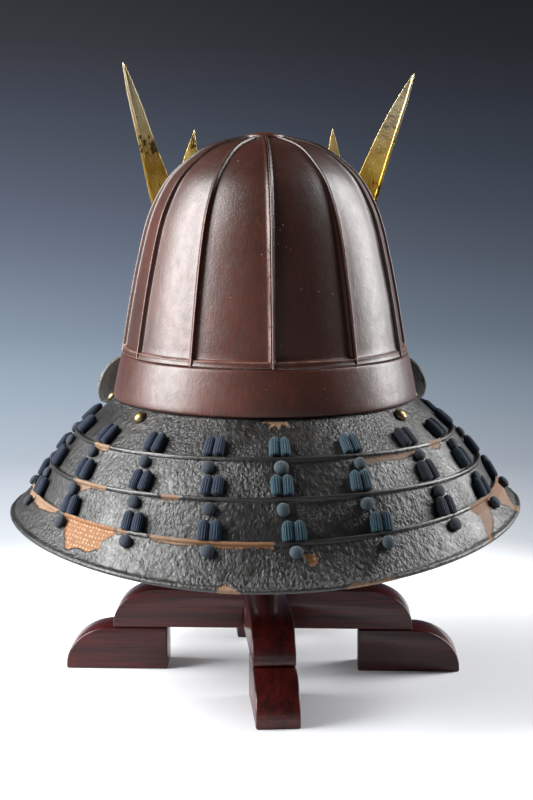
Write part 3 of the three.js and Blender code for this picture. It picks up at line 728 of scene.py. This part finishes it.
guard = {
    # upper edge of each lame, then the hem: radius, height at the back and at the sides, droop to the left
    "edges": [(106.6, 200.8, 200.8, 0), (133.7, 180.2, 179, 0.6), (152.2, 158.4, 158.4, 1.6),
              (164.6, 132.9, 141, 2.6), (182.7, 104.4, 122.1, 3)],
    "reach": 128,
    "wall": 2.4,
    "gap": 0.3,
    "tuck": 5,
    "beadDepth": 2.7,
    "beadHeight": 1.6,
    "rows": 560,
    "faceColumns": 28,
    "relief": 0.42,
    # the top lame's upper edge turns up inside the band
    "collar": [(-5.3, 0.9), (-4.8, 1.6), (-4.0, 1.95), (-2.7, 1.0), (-1.9, 0.4), (-1.3, -0.1), (-0.6, -0.2),
               (0.2, -0.15), (0.9, 0)],
    "layer": 0.55,  # thickness of the skin that is torn off
}

# Torn places on each lame, each an outline of bearings and of distances down the lame in mm
tornPlaces = {
    0: [[(-4, -1), (-4.6, 4), (-2, 3.4), (-2.4, 9), (0, 4.8), (1.4, 9.5), (2.4, 4.6), (5.6, 7.5), (4.2, 3.4),
         (6.2, 1), (5, -1)]],
    1: [[(23, 3), (24, 7.5), (31, 7), (38, 8), (44, 6), (45, 2.6), (36, 3)],
        [(-62, -1), (-61, 4.5), (-56, 5), (-53.5, 3), (-53, -1)],
        [(51, -1), (52, 5), (56, 7), (59, 3), (60, -1)]],
    2: [[(-30, -1), (-28.5, 4), (-24.5, 4), (-23, -1)],
        [(-60, -1), (-58.5, 4), (-56, 8), (-52, 4), (-46, 3.5), (-45, -1)]],
    3: [[(-88, -1), (-86, 6), (-80, 9), (-75, 6), (-70, 7), (-63, 5), (-60, 3), (-58, -1)],
        [(-39, -1), (-38.5, 3.6), (-35.5, 3.6), (-35, -1)],
        [(-30, -1), (-29, 4), (-22, 5), (-18, 3.6), (-12, 5), (-6, 4), (-1.5, 4.6), (-1, -1)],
        [(51.5, -1), (52, 3), (54, 9), (53, 18), (51.5, 26), (49, 31), (50.5, 33), (54.5, 23.5), (58.5, 16.5),
         (61.5, 7), (66, 10), (71, 18), (72, 26), (76, 26), (75.5, 17.5), (89, 2), (87, -1)],
        [(13, 32), (15, 30.6), (19, 31.4), (23.5, 30.6), (25, 34), (19, 36), (13, 36)],
        [(-12.5, 30), (-11, 27.5), (-9, 31), (-8, 34), (-13, 35)]],
}
# Where the amber ground coat shows in them
amberPlaces = {
    0: [],
    1: [],
    2: [],
    3: [[(-57.5, -1), (-38.5, -1), (-38.5, 5), (-41, 11), (-41, 17), (-44, 20.5), (-47, 19.5), (-50, 23.5),
         (-52.5, 15), (-55.5, 5)],
        [(5, 8.5), (7.5, 9), (8, 15), (6.5, 17.5), (5.2, 13)]],
}


def insideBy(outlines, bearing, down, mmPerDegree):
    # how far in mm a point lies inside the nearest of these outlines, less than 0 outside
    best = -30.0
    for outline in outlines:
        lowest = min(b for b, _ in outline) - 10
        highest = max(b for b, _ in outline) + 10
        if not lowest < bearing < highest:
            continue
        inside = False
        nearest = 30.0
        for (b1, d1), (b2, d2) in zip(outline, outline[1:] + outline[:1]):
            if (d1 > down) != (d2 > down) and bearing < b1 + (down - d1) / (d2 - d1) * (b2 - b1):
                inside = not inside
            side = Vector(((b2 - b1) * mmPerDegree, d2 - d1))
            away = Vector(((bearing - b1) * mmPerDegree, down - d1))
            share = min(1.0, max(0.0, away.dot(side) / side.length_squared))
            nearest = min(nearest, (away - side * share).length)
        best = max(best, nearest if inside else -nearest)
    return best


def edgeSpot(index, bearing):
    radius, back, side, droop = guard["edges"][index]
    sine = math.sin(math.radians(bearing))
    turn = sine**2 if abs(bearing) < 90 else 1
    return Vector((radius, back + (side - back) * turn + droop * sine))


def lameFrame(index, bearing):
    # upper edge of a lame, the way down its face, the way out of it, and its length
    top = edgeSpot(index, bearing)
    if index == 3:
        foot = edgeSpot(4, bearing)
    else:
        foot = onLame(lameFrame(index + 1, bearing), 0, -guard["wall"] - guard["gap"])
    length = (foot - top).length
    down = (foot - top) / length
    return top, down, Vector((-down.y, down.x)), length


def onLame(lame, along, proud):
    top, down, out, _ = lame
    return top + down * along + out * proud


untorn = {"wearAndPaintedLight": 0.0, "torn": -30.0, "amber": -30.0, "stain": 0.0, "lie": (0, 0, 0)}  # plain black leather


def neckLame(index):
    behind = -guard["wall"] - guard["gap"]
    tuck = guard["tuck"]
    last = index == 3
    bead = guard["beadHeight"] if index else 0.0
    depth = guard["beadDepth"]
    head = [(0, -guard["wall"] * 0.6), (0.02, bead * 0.45), (0.35, bead * 0.85), (0.9, bead), (1.5, bead),
            (2.1, bead * 0.88), (2.6, bead * 0.55), (depth, bead * 0.2), (depth + 0.7, 0)]
    head = head if index else guard["collar"]
    count = guard["faceColumns"]
    rows, reach = guard["rows"], guard["reach"]
    rowBearings = [between(-reach, reach, j / rows) for j in range(rows + 1)]
    lames = [lameFrame(index, bearing) for bearing in rowBearings]
    inner = 9
    feet = 7
    columns = len(head) + count + feet + inner
    mmPerDegree = math.radians(1) * (guard["edges"][index][0] + guard["edges"][index + 1][0]) / 2

    def place(i, j):
        bearing = rowBearings[j]
        lame = lames[j]
        length = lame[3]
        i = i % columns
        faceEnd = length - (5 if last else 0.6)
        relief = 0.0
        wearAndPaintedLight = 0.0
        if i < len(head):
            along, proud = head[i]
            wearAndPaintedLight = smoothStep(proud, 0.8, 1.6) if index else 0.0
            relief = 0.4 if i > 1 and index else 0.0
        elif i < len(head) + count:
            along = between(head[-1][0], faceEnd, (i - len(head) + 1) / count)
            proud = 0.0
            relief = 1.0
        elif i < len(head) + count + feet:
            k = i - len(head) - count
            if last:
                up, proud = [(4, 0.25), (3, 1.0), (2, 1.5), (1.1, 1.45), (0.4, 0.8), (0, -0.3),
                             (0.3, -1.7)][k]
                along = length - up
                relief = 1.0 if k < 5 else 0.3
                wearAndPaintedLight = smoothStep(proud, 1.0, 1.5) * 0.5
            else:
                below = lameFrame(index + 1, bearing)
                along, proud = [(0, behind), (2, behind), (4, behind), (tuck - 0.3, behind - 0.3),
                                (tuck, behind - 1.2), (tuck - 0.3, behind - 2.1), (tuck - 1, behind - 2.4)][k]
                spot = onLame(below, along, proud)
                return around(bearing, spot.x, spot.y), untorn
        else:
            share = (i - len(head) - count - feet) / (inner - 1)
            along = between(length - 1.4 if last else length, 0.4, share)
            proud = -guard["wall"]
        lie = (bearing * mmPerDegree * mm, along * mm, 0)
        flat = onLame(lame, along, proud)
        spot = around(bearing, flat.x, flat.y)
        torn = insideBy(tornPlaces[index], bearing, along, mmPerDegree) if relief else untorn["torn"]
        amber = insideBy(amberPlaces[index], bearing, along, mmPerDegree) if relief else untorn["amber"]
        bare = max(smoothStep(torn, -0.4, 0.6), smoothStep(amber, -0.4, 0.6))
        lift = 0.0
        if relief:
            lift = bumpy(spot, 3.2, 2) * 0.6 + bumpy(spot, 7, 4) * 0.5 + bumpy(spot, 30, 6) * 0.8
            lift *= relief * guard["relief"] * (1 - 0.6 * bare)
            lift -= guard["layer"] * bare
            lift += 0.25 * smoothStep(max(torn, amber), -2.2, -0.5) * (1 - bare)
        flat = onLame(lame, along, proud + lift)
        stain = smoothStep(bearing, -24, -16) if index == 3 and along < 8 else 0.0
        told = {"wearAndPaintedLight": wearAndPaintedLight, "torn": torn, "amber": amber, "stain": stain, "lie": lie}
        return around(bearing, flat.x, flat.y), told

    return layGrid(f"lame_{index + 1}", columns, guard["rows"], place, closed=True, angle=60)


for index in range(4):
    dress(neckLame(index), blackLeather, "black_leather", f"neck_lame_{index + 1}")
print("neck guard made")

flap = {
    # upper and lower edge of the turned-back flap on the wearer's left, each from three guiding points
    "upper": [(85, -79, 199), (97, -97, 226), (116.5, -66, 216)],
    "lower": [(101, -93, 181), (119, -104, 178), (125.5, -70, 189)],
    "wall": 2.4,
    "splay": 4,  # the right one is bent this much further out
    "roundFrom": 0.72,  # share of its length from which its end is rounded
    "pale": {1: 0.7, -1: 0.05},  # how much painted light pales the left and the right one
}


def guided(points, t, splay):
    a, b, c = (Vector(p) for p in points)
    b.x += splay
    c.x += splay
    return a * (1 - t) ** 2 + b * 2 * t * (1 - t) + c * t * t


def turnedFlap(name, side):
    columns, rows = 44, 48
    splay = flap["splay"] if side < 0 else 0

    def place(i, j):
        t = j / rows
        high, low = guided(flap["upper"], t, splay), guided(flap["lower"], t, splay)
        nearby = min(1.0, t + 0.01)
        ahead, before = (guided(flap["upper"], spot, splay) + guided(flap["lower"], spot, splay)
                         for spot in (nearby, nearby - 0.01))
        along = (ahead - before).normalized()
        middle = (high + low) / 2
        half = (high - low) / 2
        toTip = max(0.0, (t - flap["roundFrom"]) / (1 - flap["roundFrom"]))
        half *= math.sqrt(max(0.0, 1 - toTip**2)) * 0.93 + 0.07
        out = half.cross(along).normalized()
        turn = 2 * math.pi * (i % columns) / columns
        across = max(-1.0, min(1.0, 1.12 * math.cos(turn)))
        thick = flap["wall"] / 2 * max(-1.0, min(1.0, 1.6 * math.sin(turn))) * (1 if t < 0.98 else 0.5)
        spot = middle + half * across + out * thick
        spot = Vector((spot.x * side * mm, spot.y * mm + axisY, spot.z * mm))
        rim = smoothStep(abs(across), 0.86, 1) * (1 if thick * side > 0 else 0)
        lift = bumpy(spot, 3.4, 8) * 0.35 + bumpy(spot, 7, 4) * 0.3
        spot += Vector((out.x * side, out.y, out.z)) * lift * math.copysign(1, thick) * mm
        return spot, untorn | {"wearAndPaintedLight": rim * 0.3, "pale": flap["pale"][side]}

    return layGrid(name, columns, rows, place, closed=True, angle=60)


dress(turnedFlap("flap_left", 1), blackLeather, "black_leather", "turned_flap_left")
dress(turnedFlap("flap_right", -1), blackLeather, "black_leather", "turned_flap_right")

dome = {"radius": 4.8, "rise": 4.0, "skirt": 0.5, "drop": 7.5, "bearings": [-103, -51.5, 51.5, 103]}


def lameStand(index, bearing, along, proud):
    # a turn and place on a lame: x across to the wearer's right, y up the face, z out of it
    lame = lameFrame(index, bearing)
    spot = onLame(lame, along, proud)
    here = around(bearing, spot.x, spot.y)
    tip = onLame(lame, along, proud + 1)
    upper = onLame(lame, along - 1, proud)
    out = (around(bearing, tip.x, tip.y) - here).normalized()
    up = (around(bearing, upper.x, upper.y) - here).normalized()
    across = up.cross(out).normalized()
    up = out.cross(across)
    turn = Matrix((across, up, out)).transposed().to_4x4()
    return Matrix.Translation(here) @ turn


domeLine = [(0, 0), (dome["radius"] - 0.2, 0), (dome["radius"], 0.2)]
for degrees in range(0, 90, 9):
    swing = math.radians(degrees)
    high = between(dome["skirt"], dome["rise"], math.sin(swing))
    domeLine.append((dome["radius"] * math.cos(swing), high))
domeLine.append((0, dome["rise"]))
for number, bearing in enumerate(dome["bearings"]):
    rivet = turned(f"rivet_{number + 1:02d}", domeLine, 32)
    rivet.matrix_world = lameStand(0, bearing, dome["drop"], 0.4)
    dress(settle(rivet), agedBrass, "brass", f"brass_dome_{number + 1:02d}")
print("flaps and rivets made")


lace = {
    "widths": [13.2, 14.0, 15.0],  # of a pair of strands in the first, second and third row
    "rise": 6.0,
    "lengths": [15.2, 14.3, 13.4],
    "ribs": 16,
    "knotWidth": 9.0,
    "knotRise": 5.0,
    "knotFrom": 3.5,
    "knotTo": 12.2,
    # bearings of the columns in the first, second and third row, from the back to the wearer's right
    "columns": [(-123, -122, -121), (-102, -101, -100), (-81, -79, -77), (-59.5, -58, -56),
                (-37.5, -36, -34.5), (-18, -16.3, -15.6), (1, 1, 3.2), (22.6, 21.3, 23.9), (44, 43.6, 43.7),
                (64, 63.5, 63), (84, 84, 83), (104, 104, 103), (123, 123, 122)],
    # how each column has faded: 0 purple black, 0.4 navy, 1 teal
    "dyes": [0.3, 0.35, 0.3, 0.4, 0.35, 0.6, 1.0, 0.85, 0.1, 0.7, 0.5, 0.4, 0.3],
}


def strandBody(name, width, rise):
    # a fat ribbed strand, 1 mm long to be stretched, its upper end rounded and its lower end blunt
    ribs = lace["ribs"]
    columns, rows = ribs * 4, 18

    def place(i, j):
        t = (j / rows) ** 1.35 if j < rows else 1.0
        turn = 2 * math.pi * (i % columns) / columns
        swell = math.sqrt(max(0.0, 1 - max(0.0, (0.36 - t) / 0.36) ** 2.1))
        swell *= between(0.94, 1, smoothStep(t, 0.2, 0.7)) * (1 - 0.12 * smoothStep(t, 0.9, 1))
        swell = max(swell, 0.12)
        ribbing = math.cos(turn * ribs)
        reach = 1 + 0.055 * ribbing * smoothStep(swell, 0.1, 0.5)
        x = width / 2 * math.copysign(abs(math.cos(turn)) ** 0.85, math.cos(turn)) * swell * reach
        z = rise / 2 * math.sin(turn) * swell ** 0.75 * reach + rise * 0.46
        return Vector((x, 0.5 - t, z)) * mm, {"wearAndPaintedLight": 0.5 + 0.5 * ribbing}

    return layGrid(name, columns, rows, place, closed=True, angle=75)


def knotBody(name, width, length, rise):
    ribs = 20
    columns, rows = ribs * 3, 16

    def place(i, j):
        t = 0.5 - 0.5 * math.cos(math.pi * j / rows)
        turn = 2 * math.pi * (i % columns) / columns
        swell = max(0.1, math.sqrt(max(0.0, 1 - abs(2 * t - 1) ** 2.2)))
        ribbing = math.cos(turn * ribs)
        reach = 1 + 0.02 * ribbing * smoothStep(swell, 0.15, 0.6)
        x = width / 2 * math.cos(turn) * swell * reach
        z = rise * 0.55 * math.sin(turn) * swell * reach + rise * 0.42
        return Vector((x, length * (0.5 - t), z)) * mm, {"wearAndPaintedLight": 0.55 + 0.25 * ribbing}

    return layGrid(name, columns, rows, place, closed=True, angle=75)


strand = strandBody("strand", 1, lace["rise"])
knot = knotBody("knot", lace["knotWidth"], lace["knotTo"] - lace["knotFrom"], lace["knotRise"])
chance = random.Random(11)


def laid(body, stand, shift, turn, stretch):
    # a copy of a body on the lame, shifted in mm, turned in degrees and stretched
    copy = body.copy()
    copy.data = body.data.copy()
    bpy.context.scene.collection.objects.link(copy)
    onto = Matrix.Translation((shift[0] * mm, shift[1] * mm, 0)) @ Matrix.Rotation(math.radians(turn), 4, "Z")
    copy.matrix_world = stand @ onto @ Matrix.Diagonal((*stretch, 1))
    return settle(copy)


for number, bearings in enumerate(lace["columns"]):
    strands, ties = [], []
    for row, bearing in enumerate(bearings):
        width = lace["widths"][row]
        end = lameFrame(row, bearing)[3] - 0.4
        size = lace["lengths"][row] * chance.uniform(0.96, 1.04)
        stand = lameStand(row, bearing, end - size / 2, 0.2)
        lean = chance.uniform(-3, 3)
        for side in (-1, 1):
            splay = side * chance.uniform(-1, 2)
            shift = (side * width / 4, chance.uniform(-0.2, 0.3))
            stretch = (width / 2 * chance.uniform(0.98, 1.05), size, chance.uniform(0.92, 1.02))
            strands.append(laid(strand, stand, shift, lean + splay, stretch))
        stand = lameStand(row + 1, bearing, (lace["knotFrom"] + lace["knotTo"]) / 2, 0.1)
        shift = (chance.uniform(-0.7, 0.7), chance.uniform(-0.3, 0.3))
        lean = chance.uniform(-14, 14)
        stretch = (chance.uniform(0.88, 1.06), chance.uniform(0.92, 1.05), chance.uniform(0.9, 1.05))
        ties.append(laid(knot, stand, shift, lean, stretch))
    for pieces, material in ((strands, indigoLace), (ties, fadedLace)):
        for piece in pieces:
            piece.data.materials.clear()
            piece.data.materials.append(material)
    column = joinPieces(f"lacing_{number + 1:02d}", strands + ties)
    dye = column.data.attributes.new("dye", "FLOAT", "POINT")
    dye.data.foreach_set("value", [lace["dyes"][number]] * len(column.data.vertices))
    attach(column, "root")
    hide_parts(f"lace_column_{number + 1:02d}")
for body in (strand, knot):
    bpy.data.objects.remove(body)
print("lacing made")


def bevelledCopy(node, name, width, limit=35):
    # a CAD node's shape with its edges rounded where they turn by more than the limit in degrees
    piece = copyNode(node, name)
    applyModifier(piece, "BEVEL", width=width * mm, segments=3, limit_method="ANGLE",
                  angle_limit=math.radians(limit), use_clamp_overlap=True, harden_normals=False)
    return finishMesh(piece, 35, recalculate=False)


dress(bevelledCopy("horn_left", "gilt_horn_left", 0.5), giltLeft, "gilt", "horn_left")
dress(bevelledCopy("horn_right", "gilt_horn_right", 0.5), giltRight, "gilt", "horn_right")
dress(bevelledCopy("crest_holder", "crest_block", 0.8), giltRight, "gilt", "crest_holder")
print("crest made")


standEdge = 1.3  # rounding of the bars' edges in mm
for node, name, wood in (("beam_across", "bar_across", woodAcross),
                         ("foot_left", "block_left", woodAcross),
                         ("foot_right", "block_right", woodAcross),
                         ("beam_fore_aft", "bar_fore_aft", woodForeAft),
                         ("foot_back", "block_back", woodForeAft),
                         ("foot_front", "block_front", woodForeAft)):
    dress(bevelledCopy(node, name, standEdge, 60), wood, "stand_wood", node)
dress(bevelledCopy("post", "head_post", 1.0, 60), woodUpright, "stand_wood", "post")
print("stand made")


stage = {
    "target": Vector((0, 0, 0.25)),
    "lampDistance": 1.7,
    # outline of the sweep in mm: flat floor, a bend, and the wall behind it
    "flat": 2200,
    "bend": 800,
    "wall": 4500,
    # tones of the painted glow from the middle outwards and up the wall, by the floor's mm and twice the
    # height's
    "tones": [(340, "#e9edf2"), (580, "#ccd2da"), (890, "#a8b1bd"), (1310, "#95a2b0"), (1950, "#818f9e"),
              (2550, "#6f7b8b"), (2930, "#5f6878"), (3300, "#505766"), (3630, "#444b57"), (3930, "#3a3e49"),
              (4220, "#323339"), (4500, "#2b2c31"), (5000, "#26272b")],
    # the same behind the camera: grey floor, then a low pale glowing band, painted light for the gilding to
    # mirror
    "rearTones": [(340, "#e4e8ed"), (600, "#bcc2ca"), (1000, "#99a2ad"), (1800, "#868f9b"), (2500, "#959ea9"),
                  (3000, "#c4c9cf"), (3400, "#eeeff0"), (4100, "#dfe1e4"), (4600, "#7d838c"),
                  (5000, "#3c4048")],
    "span": 5000,
    "bright": (280, 500),  # the floor is white paper to the first radius and glows beyond the second
    "sideways": (-900, 900, 0.66, 1.5),  # strength of the glow from the wearer's right to the left, raised on the left as painted light from the left lamp
}


def sweepMaterial():
    # paper sweep that glows with painted light, falling from white to slate, dimmer to the sides and brighter
    # to the wearer's left
    material, tree, shader, place = newMaterial("pale studio sweep")
    aside, back, high = (addNode(tree, "SeparateXYZ", [place], axis) for axis in "XYZ")
    flat = addNode(tree, "VectorMath", [place, (1, 1, 0)], operation="MULTIPLY")
    radius = addNode(tree, "VectorMath", [flat], "Value", operation="LENGTH")
    reach = addNode(tree, "Math", [high, 2, radius], **onTop)
    along = addNode(tree, "Math", [reach, 1 / stage["span"]], **times)
    ramps = []
    for tones in (stage["tones"], stage["rearTones"]):
        ramp = addNode(tree, "ValToRGB", [along])
        stops = ramp.node.color_ramp.elements
        while len(stops) < len(tones):
            stops.new(0.5)
        for k, (spot, code) in enumerate(tones):
            stops[k].position = spot / stage["span"]
            stops[k].color = colour(code)
        ramps.append(ramp)
    facing = addNode(tree, "Math", [back, radius], operation="DIVIDE")
    share = addNode(tree, "MapRange", [facing, 0.8, 0.93], **smooth)
    glow = addNode(tree, "Mix", {0: share, 6: ramps[0], 7: ramps[1]}, 2, **tint)
    flank = addNode(tree, "Math", [facing], operation="ABSOLUTE")
    near = addNode(tree, "MapRange", [radius, *stage["bright"]], **smooth)
    strength = addNode(tree, "MapRange", [aside, *stage["sideways"]], **smooth)
    for share in (addNode(tree, "MapRange", [flank, 0.3, 0.85, 0.45, 1], **smooth), near):
        strength = addNode(tree, "Math", [strength, share], **times)
    fill(tree, shader, {
        "Base Color": addNode(tree, "Mix", {0: near, 6: colour("#dadbde"), 7: colour("#000000")}, 2, **tint),
        "Emission Color": glow,
        "Emission Strength": strength,
        "Roughness": 0.9,
        "Specular IOR Level": 0,
    })
    return material


sweepLine = [(0, 0), (stage["flat"] / 2, 0)]
for degrees in range(0, 91, 5):
    swing = math.radians(degrees)
    sweepLine.append((stage["flat"] + stage["bend"] * math.sin(swing), stage["bend"] * (1 - math.cos(swing))))
sweepLine.append((stage["flat"] + stage["bend"], stage["wall"]))
sweep = turned("sweep", sweepLine, 96)
sweep.data.materials.append(sweepMaterial())

world = bpy.data.worlds.new("studio")
bpy.context.scene.world = world
world.use_nodes = True
world.node_tree.nodes["Background"].inputs["Color"].default_value = colour("#2b2c31")


def softbox(name, azimuth, elevation, size, power):
    # a white area lamp turned to the middle of the helmet: azimuth from the front towards the wearer's left
    bpy.ops.object.select_all(action="DESELECT")
    a, e = math.radians(azimuth), math.radians(elevation)
    away = Vector((math.sin(a) * math.cos(e), -math.cos(a) * math.cos(e), math.sin(e)))
    bpy.ops.object.light_add(type="AREA", location=stage["target"] + away * stage["lampDistance"])
    light = bpy.context.object
    light.name = name
    light.rotation_euler = (-away).to_track_quat("-Z", "Y").to_euler()
    light.data.shape = "RECTANGLE"
    light.data.size, light.data.size_y = size
    light.data.energy = power


softbox("left softbox", 95, 25, (1.2, 1.6), 125)
softbox("right softbox", 287, 24, (0.8, 1.6), 60)

camera = {
    "bearing": 3.1,  # degrees round from the back towards the wearer's left
    "distance": 1206.2,
    "aside": 1.1,
    "height": 376.9,
    "pitch": 8.5,
    "lens": 76.24,
}
turn = math.radians(camera["bearing"])
bpy.ops.object.select_all(action="DESELECT")
bpy.ops.object.camera_add()
view = bpy.context.object
view.data.lens = camera["lens"]
view.data.sensor_width = 36
view.location = ((camera["distance"] * math.sin(turn) - camera["aside"]) * mm,
                 camera["distance"] * math.cos(turn) * mm + axisY, camera["height"] * mm)
pitch = math.radians(camera["pitch"])
ahead = Vector((-math.sin(turn) * math.cos(pitch), -math.cos(turn) * math.cos(pitch), -math.sin(pitch)))
view.rotation_euler = ahead.to_track_quat("-Z", "Y").to_euler()
bpy.context.scene.camera = view
bpy.context.scene.view_settings.view_transform = "Standard"
print("stage set")
